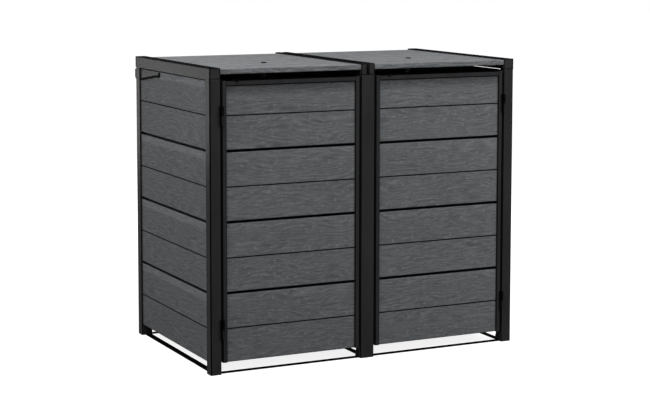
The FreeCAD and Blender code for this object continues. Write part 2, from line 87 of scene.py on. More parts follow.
def make_camera():
    """The camera of the picture, as the scene's camera."""
    data = bpy.data.cameras.new("picture_camera")
    data.sensor_width = SENSOR_WIDTH
    data.lens = SENSOR_WIDTH * FOCAL_PIXELS / IMAGE_WIDTH
    data.shift_y = -(IMAGE_HEIGHT / 2 - AXIS_ROW) / IMAGE_WIDTH
    camera = bpy.data.objects.new("picture_camera", data)
    scene.collection.objects.link(camera)
    level = math.cos(CAMERA_ELEVATION)
    back = Vector((math.sin(CAMERA_AZIMUTH) * level, -math.cos(CAMERA_AZIMUTH) * level,
                   math.sin(CAMERA_ELEVATION)))
    turn = (-back).to_track_quat("-Z", "Y").to_matrix().to_4x4()
    turn = turn @ Matrix.Rotation(CAMERA_ROLL, 4, "Z")
    camera.matrix_world = Matrix.Translation(CAMERA_PLACE) @ turn
    scene.camera = camera
    return camera


camera = make_camera()
print("lens in mm:", round(camera.data.lens, 2), "shift:", round(camera.data.shift_y, 4))

# %% [markdown]
# ## Colours as they look on a screen
#
# The greys of this store were judged on a screen, where a grey has a level from 0 to 255.
# A shader wants linear light instead. A colour picker could turn the one into the other by
# hand, but then the numbers in the script would mean nothing to a reader, so two short
# functions do it.

# %% Screen colours
def linear(level):
    """A screen level from 0 to 255 as a linear value, by the sRGB curve."""
    share = level / 255
    return share / 12.92 if share <= 0.04045 else ((share + 0.055) / 1.055) ** 2.4


def shade(red, green, blue):
    """A screen colour as linear red, green, blue and alpha."""
    return (linear(red), linear(green), linear(blue), 1.0)


print("board grey 88 in linear light:", round(linear(88), 4))

# %% [markdown]
# ## A recipe of nodes
#
# Each finish is a procedural material: nodes work out colour, roughness and relief from
# the place on the object, with no pictures. They could be set by hand in the shader
# editor. Here a small class holds one material and adds its nodes with short calls, so
# that a finish reads like a recipe and can be made again with other amounts.

# %% Recipe
class Recipe:
    """One material, and short calls that add and join its nodes."""

    def __init__(self, name):
        self.material = bpy.data.materials.new(name)
        self.material.use_nodes = True
        self.tree = self.material.node_tree
        self.tree.nodes.clear()
        self.shader = self.add("ShaderNodeBsdfPrincipled")
        output = self.add("ShaderNodeOutputMaterial")
        self.tree.links.new(self.shader.outputs["BSDF"], output.inputs["Surface"])

    def add(self, kind, **settings):
        node = self.tree.nodes.new(kind)
        for name, value in settings.items():
            setattr(node, name, value)
        return node

    def feed(self, node, name, value):
        """Give a socket a number, a colour or another node's output."""
        socket = node.inputs[name]
        if isinstance(value, bpy.types.NodeSocket):
            self.tree.links.new(value, socket)
        else:
            socket.default_value = value

    def surface(self, name, value):
        """Feed one of the shader's own sockets."""
        self.feed(self.shader, name, value)

    def math(self, operation, *values):
        node = self.add("ShaderNodeMath", operation=operation)
        for index, value in enumerate(values):
            self.feed(node, index, value)
        return node.outputs[0]


print("made:", Recipe.__name__)

# %% [markdown]
# ## Patterns and relief
#
# A recipe needs few kinds of node: the place or the direction of a point on the object,
# noise, a ramp that turns a level into a colour, a mix, and a bump. They are the same for
# board, coat and plastic, so a second class adds them once for all. Places are taken in
# the object's own axes, so that a pattern stays where it is when a lid or a door moves.

# %% Finish
class Finish(Recipe):
    """A recipe with the patterns that the finishes are made of."""

    def place(self, kind="Object"):
        """The place of a point in metres, or with another kind its normal."""
        return self.add("ShaderNodeTexCoord").outputs[kind]

    def axes(self, kind="Object"):
        """The place or the normal as three numbers."""
        split = self.add("ShaderNodeSeparateXYZ")
        self.feed(split, 0, self.place(kind))
        return tuple(split.outputs)

    def noise(self, place, scale, detail, roughness):
        node = self.add("ShaderNodeTexNoise")
        for name, value in (("Vector", place), ("Scale", scale), ("Detail", detail),
                            ("Roughness", roughness)):
            self.feed(node, name, value)
        return node.outputs["Fac"]

    def ramp(self, factor, *stops):
        """A colour ramp from pairs of a place and a colour or level."""
        node = self.add("ShaderNodeValToRGB")
        self.feed(node, "Fac", factor)
        elements = node.color_ramp.elements
        for index, (place, colour) in enumerate(stops):
            element = elements[index] if index < 2 else elements.new(place)
            element.position = place
            element.color = colour if isinstance(colour, tuple) else (colour,) * 3 + (1.0,)
        return node.outputs["Color"]

    def mix(self, factor, first, second, blend="MIX"):
        """Mix two colours, which are inputs 6 and 7 and output 2 of this node."""
        node = self.add("ShaderNodeMix", data_type="RGBA", blend_type=blend)
        for index, value in ((0, factor), (6, first), (7, second)):
            self.feed(node, index, value)
        return node.outputs[2]

    def bump(self, height, distance, strength, normal=None):
        node = self.add("ShaderNodeBump")
        for name, value in (("Height", height), ("Distance", distance), ("Strength", strength)):
            self.feed(node, name, value)
        if normal is not None:
            self.feed(node, "Normal", normal)
        return node.outputs["Normal"]


def dress(names, material):
    """Give a material to nodes of the frame, in place of the plain one they came with."""
    for name in names:
        data = frame["nodes"][name].data
        data.materials.clear()
        data.materials.append(material)
    print(material.name, "on", len(names), "nodes")


print("made:", Finish.__name__, "and", dress.__name__)

# %% [markdown]
# ## The joints between the boards
#
# Every wall is a stack of boards with a deep open joint between them and a narrow vee
# down the middle of each, which makes eight strips of four boards. A lid has three such
# boards with fine joints. The relief is in the mesh already. A ramp along the stack paints
# the rest into the colour: dirt and painted shade in the joints, painted shade in the vees
# and along the lower edge of each board, and a painted highlight along its upper part. A
# texture could carry them, but the heights come from the boxes of the nodes here, so the
# ramp lands on the real joints.

# %% Rows of boards
# Painted shade in the vees, joints and lower chamfers, and a painted highlight in the top band of
# each board.
VEE = 5.0 * MM
VEE_FLOOR = 0.85
VEE_SHADE = 0.04
CHAMFER = 2.5 * MM
CHAMFER_FADE = 1.4
CHAMFER_LIP = 0.2
JOINT_SHADE = 0.01
TOP_LIGHT_BAND = 34.0 * MM
TOP_LIGHT_FULL = 0.7


class Rows:
    """A stack of boards along one axis, from the box of its node."""

    def __init__(self, node, axis, count, joint):
        low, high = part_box(node)
        self.start = low[axis]
        self.pitch = (high[axis] - low[axis] + joint) / count
        self.face = 1.0 - joint / self.pitch

    def shading(self, finish, phase, foot, top):
        """Dirt and painted shade in the joint, painted shade in the vee, the painted shade or
        light of foot and top at a row's edges, white between.
        """
        middle = self.face / 2
        vee = VEE / self.pitch / 2
        floor = vee * VEE_FLOOR
        chamfer = CHAMFER / self.pitch
        band = TOP_LIGHT_BAND / self.pitch
        return finish.ramp(
            phase, (0.0, foot), (chamfer, foot), (chamfer * CHAMFER_FADE, 1.0),
            (middle - vee, 1.0), (middle - floor, VEE_SHADE),
            (middle + floor, VEE_SHADE), (middle + vee, 1.0),
            (self.face - band, 1.0), (self.face - band * TOP_LIGHT_FULL, top),
            (self.face - chamfer * CHAMFER_LIP, top), (self.face, JOINT_SHADE),
            (1.0, JOINT_SHADE))


wall_rows = Rows("left_wall_boards", axis=2, count=4, joint=8.8 * MM)
deck_rows = Rows("left_lid_boards", axis=1, count=3, joint=2.0 * MM)
print("row pitch in mm, wall:", round(wall_rows.pitch / MM, 2),
      "deck:", round(deck_rows.pitch / MM, 2))

# %% [markdown]
# ## The lines of the grain
#
# The boards are extruded from wood flour and plastic, and a roller presses a wood grain
# into their faces: fine wavy lines that swell into long pointed arches. A wave texture
# alone makes tidy stripes. Here the lines are the contours of a slow noise, as the rings
# of a log are cut by the saw: the height on the board plus the noise goes through a sine.
# Each strip takes its own piece of the pattern, from its row number.

# %% Grain
RING_PITCH = 13.0 * MM
RING_ARCH = 170.0 * MM
ARCH = 55.0 * MM
WAVER = 6.0 * MM
STRIP_SHIFT_ALONG = 0.731
STRIP_SHIFT_ACROSS = 0.193
# Sizes of blobs: millimetres along the board and across it.
RING_BLOB = (420.0, 110.0)
ARCH_BLOB = (320.0, 75.0)
WAVER_BLOB = (80.0, 22.0)


class Grain:
    """The embossed grain of one wall: coordinates along and across its boards."""

    def __init__(self, finish, rows, along, across, swell):
        self.finish = finish
        place = finish.axes()
        depth = place[3 - along - across]  # the axis that is left, into the board
        self.height = finish.math("MULTIPLY_ADD", place[across], 1 / rows.pitch,
                                  -rows.start / rows.pitch)
        strip = finish.math("FLOOR", finish.math("MULTIPLY", self.height, 2.0))
        self.run = finish.math("MULTIPLY_ADD", strip, STRIP_SHIFT_ALONG, place[along])
        self.rise = finish.math("MULTIPLY_ADD", strip, STRIP_SHIFT_ACROSS, place[across])
        self.rise = finish.math("ADD", depth, self.rise)
        arches = self.blobs(ARCH_BLOB)
        waves = self.blobs(WAVER_BLOB)
        self.rise = finish.math("MULTIPLY_ADD", arches, ARCH * swell, self.rise)
        self.rise = finish.math("MULTIPLY_ADD", waves, WAVER * swell, self.rise)

    def blobs(self, size, detail=1.0, roughness=0.5):
        """A noise whose blobs have a length along the board and a width across it."""
        length, width = size
        place = self.finish.add("ShaderNodeCombineXYZ")
        along = self.finish.math("DIVIDE", self.run, length * MM)
        across = self.finish.math("DIVIDE", self.rise, width * MM)
        self.finish.feed(place, 0, along)
        self.finish.feed(place, 1, across)
        return self.finish.noise(place.outputs[0], 1.0, detail, roughness)

    def rings(self):
        """Even lines that close into long pointed arches."""
        arches = self.blobs(RING_BLOB)
        level = self.finish.math("MULTIPLY_ADD", arches, RING_ARCH, self.rise)
        turns = self.finish.math("MULTIPLY", level, 2 * math.pi / RING_PITCH)
        return self.finish.math("SINE", turns)


print("ring pitch in mm:", round(RING_PITCH / MM, 1))

# %% [markdown]
# ## The relief and the greys of a board
#
# The ring lines alone would look drawn. On the real board they show only in patches, and
# short strokes and fine pores break them up. Pale flecks of wood flour lie between them.
# All of these are noises stretched along the grain. The relief drives both the bump and
# the colour, because the pressed lines hold a little more dark than the ridges. Slow
# clouds and long streaks keep one board from looking like the next.

# %% Relief and greys
BOARD_DARK = shade(76, 78, 80)
BOARD_GREY = shade(86, 88, 90)
BOARD_LIGHT = shade(98, 100, 102)
BOARD_FLECK = shade(114, 116, 118)
PATCH_BLOB = (60.0, 14.0)
STROKE_BLOB = (64.0, 8.0)
PORE_BLOB = (24.0, 2.2)
FLECK_BLOB = (18.0, 5.6)
CLOUD_BLOB = (450.0, 200.0)
STREAK_BLOB = (600.0, 16.0)
STROKE_SHARE = 0.80


def board_relief(finish, grain):
    """The height of the pressed grain, around one half."""
    patches = finish.ramp(grain.blobs(PATCH_BLOB), (0.44, 0.02), (0.60, 0.13))
    rings = finish.math("MULTIPLY", grain.rings(), patches)
    strokes = grain.blobs(STROKE_BLOB, 2.0, 0.55)
    relief = finish.math("MULTIPLY_ADD", strokes, STROKE_SHARE, rings)
    pores = grain.blobs(PORE_BLOB)
    return finish.math("MULTIPLY_ADD", pores, 1.0 - STROKE_SHARE, relief)


def board_greys(finish, grain, relief, spread, streak):
    """Grey from dark lines to light ridges, with slow clouds and long streaks."""
    colour = finish.ramp(relief, (0.50 - spread, BOARD_DARK), (0.50, BOARD_GREY),
                         (0.50 + spread, BOARD_LIGHT))
    clouds = finish.ramp(grain.blobs(CLOUD_BLOB, 2.0), (0.3, 0.94), (0.7, 1.05))
    colour = finish.mix(1.0, colour, clouds, "MULTIPLY")
    streaks = grain.blobs(STREAK_BLOB, 2.0)
    streaks = finish.ramp(streaks, (0.35, 1.0 - streak), (0.65, 1.0 + streak))
    return finish.mix(1.0, colour, streaks, "MULTIPLY")


print("board grey:", tuple(round(v, 3) for v in BOARD_GREY[:3]))

# %% [markdown]
# ## One recipe for every board
#
# Walls, doors and lids are cut from the same board, so they share one recipe, which is
# told the direction of the boards. The amounts differ a little: the lids have straighter
# lines with streaks, the side walls have a shallower relief, fainter flecks and a stronger
# painted highlight along the top of each board, and the doors get a painted shadow under
# their top rails. Matt board hardly shines, so its specular level is low. A normal one
# would fill the dark joints of the side walls with the white of the studio, because they
# are seen at a slant.

# %% Board recipe
HEAD_REACH = 46.0 * MM
HEAD_SHADOW = ((0.0, 0.44), (0.14, 0.54), (0.5, 0.66), (1.0, 1.0))


def board_material(name, rows, along, across=2, foot=0.10, top=1.08, depth=1.2 * MM,
                   spread=0.20, swell=1.0, streak=0.0, flecks=0.5, specular=0.02, head=None):
    """Embossed grey composite, with its boards along one axis and stacked across another.

    Foot is the painted shade on the lower edge of a row and top the painted highlight on
    its upper part, depth is the bump's, spread is how far the relief goes from dark to light,
    swell bends the lines, and head is the height under which a painted shadow of a rail lies.
    """
    finish = Finish(name)
    grain = Grain(finish, rows, along, across, swell)
    relief = board_relief(finish, grain)
    fleck = finish.ramp(grain.blobs(FLECK_BLOB, 0.0), (0.62, 0.0), (0.76, flecks))
    colour = board_greys(finish, grain, relief, spread, streak)
    colour = finish.mix(fleck, colour, BOARD_FLECK)
    phase = finish.math("FRACT", grain.height)
    # painted shade in joints, vees and lower edges, painted highlight along the top of each board
    colour = finish.mix(1.0, colour, rows.shading(finish, phase, foot, top), "MULTIPLY")
    # a painted shadow under the top rail, darkest at the head of the boards
    if head is not None:
        below = finish.math("MULTIPLY_ADD", grain.height, -rows.pitch / HEAD_REACH,
                            (head - rows.start) / HEAD_REACH)
        colour = finish.mix(1.0, colour, finish.ramp(below, *HEAD_SHADOW), "MULTIPLY")
    finish.surface("Base Color", colour)
    finish.surface("Roughness", finish.ramp(relief, (0.35, 0.80), (0.65, 0.66)))
    finish.surface("Specular IOR Level", specular)
    pressed = finish.bump(relief, depth, 0.5)
    finish.surface("Normal", finish.bump(fleck, 0.4 * MM, 0.3, pressed))
    return finish.material


door_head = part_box("left_door_boards")[1][2]
side_boards = board_material("composite_board_side", wall_rows, along=1, top=1.36,
                             depth=0.8 * MM, spread=0.26, swell=0.7, flecks=0.35)
rear_boards = board_material("composite_board_front", wall_rows, along=0)
door_boards = board_material("composite_board_door", wall_rows, along=0, head=door_head)
deck_boards = board_material("composite_board_deck", deck_rows, along=0, across=1, foot=1.0,
                             top=1.0, depth=1.6 * MM, spread=0.10, swell=0.15, streak=0.09,
                             specular=0.10)
dress(["left_wall_boards", "right_wall_boards"], side_boards)
dress(["rear_left_boards", "rear_right_boards"], rear_boards)
dress(["left_door_boards", "right_door_boards"], door_boards)
dress(["left_lid_boards", "right_lid_boards"], deck_boards)

# %% [markdown]
# ## Where black metal is darkest
#
# The rolled corners of the tubes get a painted shade, so every post shows a thin dark line
# between its faces, and a painted dark line runs down the upright outer edges of the
# store. Faces that look up get the same painted shade and are quite matt, so the tops of
# the rails are black lines too. Edges are often found from the pointiness of a mesh, but
# that wants a far denser one. The direction and the place of the surface find them here,
# both in the object's own axes.

# %% Painted shade on corners and tops
POST_SIDE = -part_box("front_left_post")[0][0]
POST_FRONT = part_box("front_left_post")[0][1]
POST_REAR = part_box("rear_left_post")[1][1]
CORNER_SHADE_WIDTH = 4.6 * MM
RIGHT_CORNER_SHARE = 0.35


def outer_edge_shade(finish):
    """Painted shade: one within a few millimetres of the four upright outer edges of the store.
    """
    x, y, z = finish.axes()
    side = finish.math("SUBTRACT", POST_SIDE, finish.math("ABSOLUTE", x))
    front = finish.math("ABSOLUTE", finish.math("SUBTRACT", y, POST_FRONT))
    rear = finish.math("ABSOLUTE", finish.math("SUBTRACT", y, POST_REAR))
    away = finish.math("MAXIMUM", side, finish.math("MINIMUM", front, rear))
    return finish.ramp(finish.math("DIVIDE", away, CORNER_SHADE_WIDTH), (0.8, 1.0), (1.0, 0.0))


def painted_shade_places(finish):
    """Painted shade: one on rolled corners and faces that look up, zero on the flat sides.

    Corners that turn to the right, away from the camera, have only a share of it.
    """
    x, y, z = finish.axes("Normal")
    flat = finish.math("MAXIMUM", finish.math("ABSOLUTE", x), finish.math("ABSOLUTE", y))
    flat = finish.math("MAXIMUM", flat, finish.math("ABSOLUTE", z))
    rolled = finish.ramp(flat, (0.96, 1.0), (0.993, 0.0))
    turned = finish.ramp(x, (0.0, 1.0), (0.1, RIGHT_CORNER_SHARE))
    rolled = finish.math("MULTIPLY", rolled, turned)
    upward = finish.ramp(z, (0.6, 0.0), (0.95, 1.0))
    dark = finish.math("MAXIMUM", rolled, upward)
    return finish.math("MAXIMUM", dark, outer_edge_shade(finish))


print("outer edges at x and y:", [round(v, 4) for v in (POST_SIDE, POST_FRONT, POST_REAR)])

# %% [markdown]
# ## The black metal
#
# Posts, rails, stiles and brackets are powder coated: a black satin skin with a very fine
# orange-peel and faint smears. A plain dark colour would do from afar. The peel is far
# smaller than a pixel from here and mostly widens the highlights, but close up it keeps
# the metal from looking like plastic. The hinge barrels are painted blacker, for the
# shade deep in their pockets.

# %% Powder coat
COAT_SPECULAR = 0.004
COAT_SHADOW = shade(4, 4, 5)
MATT = (1.0, 1.0, 1.0, 1.0)
PEEL_SCALE = 900.0
SMEAR_SCALE = 5.0
SMEAR_STRETCH = (3.0, 3.0, 0.7)


def metal_material(name, level, roughness):
    """Satin black powder coat with orange-peel, smears, and painted shade on tops and corners."""
    finish = Finish(name)
    upright = finish.add("ShaderNodeMapping")
    finish.feed(upright, "Vector", finish.place())
    finish.feed(upright, "Scale", SMEAR_STRETCH)
    smear = finish.noise(upright.outputs["Vector"], SMEAR_SCALE, 4.0, 0.6)
    coat = finish.ramp(smear, (0.35, shade(level, level, level + 1)),
                       (0.75, shade(level + 6, level + 6, level + 7)))
    satin = finish.ramp(smear, (0.3, roughness - 0.01), (0.7, roughness + 0.02))
    # painted shade on rolled corners, the outer edges and faces that look up
    dark = painted_shade_places(finish)
    peel = finish.noise(finish.place(), PEEL_SCALE, 2.0, 0.5)
    finish.surface("Base Color", finish.mix(dark, coat, COAT_SHADOW))
    finish.surface("Roughness", finish.mix(dark, satin, MATT))
    finish.surface("Specular IOR Level", COAT_SPECULAR)
    finish.surface("Normal", finish.bump(peel, 0.3 * MM, 0.3))
    return finish.material


slots = {entry["node"]: entry["material_slot"] for entry in frame["record"]["subparts"]}


def nodes_in(slot):
    """The names of the nodes whose record names this material slot."""
    return [name for name, own in slots.items() if own == slot]


powder_coat = metal_material("black_powder_coat", level=38, roughness=0.25)
hardware_coat = metal_material("black_hardware_coat", level=34, roughness=0.25)
# the hinge barrels are painted near black for the shade in their pockets
hinge_shade_coat = metal_material("black_hinge_shade_coat", level=6, roughness=0.5)
dress(nodes_in("black_aluminium"), powder_coat)
dress(nodes_in("black_steel"), hardware_coat)
dress([name for name in slots if name.endswith("hinge_barrels")], hinge_shade_coat)

# %% [markdown]
# ## Plastic and rubber
#
# Caps and feet are moulded black plastic with a fine spark texture from the mould, and the
# magnets sit in housings of the same kind. Buffers and pads are matt black rubber. These
# differ only in level, in gloss and in the size of their texture, so one recipe makes all
# three. One plain black could serve for them, but a cap would then look like a part of its
# rail. They take the same painted shade on corners, edges and tops as the metal, because a
# cap continues the lines of the rail.

# %% Plastic and rubber
PLASTIC_SPECULAR = 0.01
CLOUD_SCALE = 30.0


def moulded_material(name, level, roughness, texture):
    """Moulded black plastic or rubber."""
    finish = Finish(name)
    cloud = finish.noise(finish.place(), CLOUD_SCALE, 3.0, 0.5)
    spark = finish.noise(finish.place(), texture, 3.0, 0.6)
    body = finish.ramp(cloud, (0.3, shade(level, level, level)),
                       (0.75, shade(level + 8, level + 8, level + 8)))
    # painted shade on corners, edges and tops, as on the metal
    finish.surface("Base Color", finish.mix(painted_shade_places(finish), body, COAT_SHADOW))
    finish.surface("Roughness", roughness)
    finish.surface("Specular IOR Level", PLASTIC_SPECULAR)
    finish.surface("Normal", finish.bump(spark, 0.2 * MM, 0.4))
    return finish.material


black_plastic = moulded_material("black_moulded_plastic", 38, 0.4, 1400.0)
black_rubber = moulded_material("matt_black_rubber", 8, 0.9, 2200.0)
housing = moulded_material("moulded_housing", 28, 0.4, 1400.0)
dress(nodes_in("black_plastic"), black_plastic)
dress(nodes_in("black_rubber"), black_rubber)
dress(nodes_in("magnet_housing"), housing)

# %% [markdown]
# ## Zinc
#
# The eye bolts are zinc plated, which shows as a patchwork of crystals, each lighter and
# glossier in its middle. Plain metal would look like chrome. A texture of irregular cells
# has that look and needs one node. The zinc is a dull, darkish grey, so the eye under the
# lid shows only as a small glint.

# %% Zinc plating
CRYSTAL_SCALE = 260.0


def zinc_material(name):
    """Zinc plating with crystal patches."""
    finish = Finish(name)
    crystals = finish.add("ShaderNodeTexVoronoi")
    finish.feed(crystals, "Vector", finish.place())
    finish.feed(crystals, "Scale", CRYSTAL_SCALE)
    patch = crystals.outputs["Distance"]
    finish.surface("Base Color", finish.ramp(patch, (0.0, shade(164, 167, 170)),
                                             (0.8, shade(112, 114, 116))))
    finish.surface("Metallic", 1.0)
    finish.surface("Roughness", finish.ramp(patch, (0.0, 0.24), (0.8, 0.42)))
    return finish.material


dress(nodes_in("zinc_steel"), zinc_material("zinc_plating"))

# %% [markdown]
# ## Placing the small parts
#
# The frame has every part that carries or turns. What it lacks is the trim and the
# fasteners, and these are made here as meshes. Measures are given as on the drawing, in
# millimetres from the foot of the front left post, X to the right, Y to the back and Z
# up, and most are read from the nodes that carry the part. A finished mesh is linked and
# rides on a body, so that it follows when a lid or door opens.

# %% Placing helpers
CREASE = math.radians(35)
drawing_origin = Vector((-POST_SIDE, POST_FRONT, 0.0))


def at(x, y, z):
    """A place on the drawing as a place in the scene."""
    return drawing_origin + Vector((x, y, z)) * MM


def drawn(node):
    """The lowest and the highest corner of a node, as places on the drawing."""
    return [(corner - drawing_origin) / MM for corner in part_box(node)]


def place_piece(name, edit, material, body):
    """Finish a mesh and let it ride on a body."""
    bmesh.ops.recalc_face_normals(edit, faces=edit.faces)
    mesh = bpy.data.meshes.new(name)
    edit.to_mesh(mesh)
    edit.free()
    mesh.materials.append(material)
    mesh.polygons.foreach_set("use_smooth", [True] * len(mesh.polygons))
    mesh.set_sharp_from_angle(angle=CREASE)
    piece = bpy.data.objects.new(name, mesh)
    scene.collection.objects.link(piece)
    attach(piece, body)
    print(name, "on", body, "with", len(mesh.polygons), "faces")


print("left door boards from", [round(v, 1) for v in drawn("left_door_boards")[0]], "mm")

# %% [markdown]
# ## Two ways to a skin
#
# Caps and screw heads are turned, and rims and trims are swept. Both are rings of points
# joined by faces, so one function lays the skin over any rings. A turned part could be a
# Screw modifier and a swept one a bevelled curve, but with rings in a list the corners
# and the ends come out exactly as drawn.

# %% Skins
def skin(edit, rings, closed=False):
    """Join neighbouring rings with faces, and close the loop or cap both ends."""
    following = rings[1:] + rings[:1] if closed else rings[1:]
    for near, far in zip(rings, following):
        for step in range(len(near)):
            after = (step + 1) % len(near)
            edit.faces.new((near[step], near[after], far[after], far[step]))
    if not closed:
        edit.faces.new(rings[0])
        edit.faces.new(rings[-1])


def lathe(edit, centre, axis, profile, segments=32, hexagon=0):
    """Turn (radius, height) points round an axis; the first rings may be a hexagon."""
    turn = Vector(axis).to_track_quat("Z", "Y").to_matrix()
    rings = []
    for index, (radius, height) in enumerate(profile):
        ring = []
        for step in range(segments):
            angle = 2 * math.pi * step / segments
            reach = radius
            if index < hexagon:
                reach = radius / math.cos((angle + math.pi / 6) % (math.pi / 3) - math.pi / 6)
            spot = Vector((reach * math.cos(angle), reach * math.sin(angle), height)) * MM
            ring.append(edit.verts.new(centre + turn @ spot))
        rings.append(ring)
    skin(edit, rings)


print("made:", skin.__name__, "and", lathe.__name__)

# %% [markdown]
# ## Caps on the eye bolts
#
# An eye bolt goes through each lid. In the picture its head is a flat black spot, so the
# bright head wears a snap-on rubber cap. The cap could be a squashed sphere, but a turned
# profile gives it what a real one has: a shallow dome, a rounded rim and a small dimple
# in the middle, where the mould was filled.

# %% Eye-bolt caps
CAP_PROFILE = ((1.2, 3.5), (2.0, 4.0), (6.0, 3.9), (9.5, 3.5), (11.4, 2.8), (12.3, 1.8),
               (12.6, 0.9), (12.6, 0.05))

for lid in ("left_lid", "right_lid"):
    low, high = drawn(lid + "_eye_bolt")
    deck_top = drawn(lid + "_boards")[1].z
    edit = bmesh.new()
    centre = at((low.x + high.x) / 2, (low.y + high.y) / 2, deck_top)
    lathe(edit, centre, (0, 0, 1), CAP_PROFILE)
    place_piece(lid + "_eye_bolt_cap", edit, black_rubber, lid)

# %% [markdown]
# ## Rims on the rail caps
#
# The open front ends of the lid rails are closed with flat plastic caps. Such a cap has
# a raised rim, which takes the knocks. It is made in near-black rubber, so that it stands
# in for the thin line of shade round each rail end. An inset face would make a square
# step. The rim is a rectangle swept with a small half-round section: a closed ring of four
# mitred corners, one mesh for the two caps of a lid.

# %% Cap rims
RIM_WIDTH = 3.0
RIM_PROUD = 0.7
RIM_INSET = 0.3
SKIRT = 3.0  # the foot of an outer rail, which its rim leaves out
# Share of the width inward from the outline, and share of the height out of the cap.
RIM_SECTION = ((0.0, 0.1), (0.0, -0.5), (0.25, -0.9), (0.6, -1.0), (0.85, -0.8), (1.0, 0.1))


def cap_shade_rim(edit, left, right, low, high):
    """A rim inside the outline of one cap, which faces the front."""
    corners = ((left, low, 1, 1), (right, low, -1, 1), (right, high, -1, -1), (left, high, 1, -1))
    rings = []
    for x, z, turn_x, turn_z in corners:
        ring = []
        for inward, outward in RIM_SECTION:
            step = RIM_INSET + inward * RIM_WIDTH
            spot = at(x + turn_x * step, outward * RIM_PROUD, z + turn_z * step)
            ring.append(edit.verts.new(spot))
        rings.append(ring)
    skin(edit, rings, closed=True)


for lid in ("left_lid", "right_lid"):
    edit = bmesh.new()
    for rail, skirt in (("_outer_rail", SKIRT), ("_inner_rail", 0.0)):
        low, high = drawn(lid + rail)
        cap_shade_rim(edit, low.x, high.x, low.z + skirt, high.z)
    # near-black rims stand in for the line of shade round each rail end
    place_piece(lid + "_cap_shade_rims", edit, black_rubber, lid)

# %% [markdown]
# ## The edge of the lid brackets
#
# The long side plates of the two outer brackets end in a bare steel edge at hand height,
# and the picture shows that edge as a black line. First comes the line that it follows:
# down the tip of the plate, round its nose, back along the taper and a little along the
# lower edge. It could be taken from the edges of the mesh, but a few lengths from the
# corner of the bracket's box say the same and are easier to read.

# %% Path along the bracket
TIP_HEIGHT = 20.0
TIP_RUN = 45.0
TAPER_RUN = 169.0
FOOT_RUN = 11.0
NOSE_RADIUS = 9.0
NOSE_STEPS = 6


def bracket_path():
    """Points of the plate's free edge as (Y, Z), with an arc round the nose."""
    low, high = drawn("left_lid_bracket")
    chin = high.z - TIP_HEIGHT
    taper_end = low.y + TIP_RUN + TAPER_RUN
    centre = Vector((low.y + NOSE_RADIUS, chin + NOSE_RADIUS))
    path = [Vector((low.y, high.z))]
    for step in range(NOSE_STEPS + 1):
        angle = math.pi / 2 * step / NOSE_STEPS
        path.append(centre - NOSE_RADIUS * Vector((math.cos(angle), math.sin(angle))))
    path.append(Vector((low.y + TIP_RUN, chin)))
    path.append(Vector((taper_end, low.z)))
    path.append(Vector((taper_end + FOOT_RUN, low.z)))
    return path


print("points of the bracket's edge:", len(bracket_path()))

# %% [markdown]
# ## Edge trim on the lid brackets
#
# A near-black rubber strip is pressed over the edge, and its black stands in for the
# shadow and gap along the plate's edge. It could be a curve with a round bevel, but a
# swept section follows the corners exactly and stays flat on the plate: seven millimetres
# wide, four proud of the plate, with softened corners and a thin lip that wraps the edge.
# The right trim is the mirror of the left one.

# %% Edge trim
TRIM_WIDTH = 7.0
TRIM_PROUD = 4.0
TRIM_LIP = 0.35
CLEARANCE = 0.03
BOARD_GAP = 0.1
PLATE = 3.0
STORE_WIDTH = drawn("front_right_post")[1].x
board_face = drawn("left_wall_boards")[0].x
plate_face = board_face - PLATE
trim_front = plate_face - TRIM_PROUD
trim_back = board_face - BOARD_GAP
# Inward from the plate's edge, and X on the drawing.
TRIM_SECTION = (
    (-TRIM_LIP, trim_back), (-TRIM_LIP, trim_front + 1.0), (0.4, trim_front + 0.25),
    (1.2, trim_front), (TRIM_WIDTH - 1.2, trim_front), (TRIM_WIDTH - 0.3, trim_front + 0.4),
    (TRIM_WIDTH, trim_front + 1.2), (TRIM_WIDTH, plate_face - CLEARANCE),
    (-CLEARANCE, plate_face - CLEARANCE), (-CLEARANCE, trim_back))


def edge_shade_trim(mirror):
    """Sweep the section along the bracket's edge, on the left or mirrored to the right."""
    path = bracket_path()
    edit = bmesh.new()
    rings = []
    for index, point in enumerate(path):
        behind = (point - path[max(index - 1, 0)]).normalized()
        ahead = (path[min(index + 1, len(path) - 1)] - point).normalized()
        along = (ahead + behind).normalized()
        inward = Vector((-along.y, along.x))
        stretch = 1 / max(0.7, along.dot(ahead if ahead.length else behind))
        ring = []
        for inside, x in TRIM_SECTION:
            spot = point + inward * inside * stretch
            ring.append(edit.verts.new(at(STORE_WIDTH - x if mirror else x, spot.x, spot.y)))
        rings.append(ring)
    skin(edit, rings)
    return edit


for side, mirror in (("left", False), ("right", True)):
    # the black trim stands in for the shadow line along the bracket's edge
    place_piece(side + "_bracket_shade_trim", edge_shade_trim(mirror), black_rubber, "frame")

# %% [markdown]
# ## Screws
#
# Posts, doors and lids are held by pan-head screws. They are driven from the inside and
# the back, so none shows in the picture, but they do from behind, with a door open and
# under a raised lid. Each could be placed by hand. Here the places are worked out, in
# millimetres from the nodes that the screws go through, so no head hangs in the air.

# %% Screw places
BEHIND = (0, 1, 0)
BELOW = (0, 0, -1)
BAR_SCREWS = (19, 151, 279, 407, 539)
STILE_SCREWS = (8, 588)
STILE_HEIGHTS = (70, 1100)
STIFFENER_SCREWS = (60, 180, 410, 560, 760)
CORNER_INSET = 34
CORNER_HEIGHTS = (60, 320, 600, 880, 1060)
MIDDLE_INSET = 12
MIDDLE_HEIGHTS = (60, 320, 600, 880)

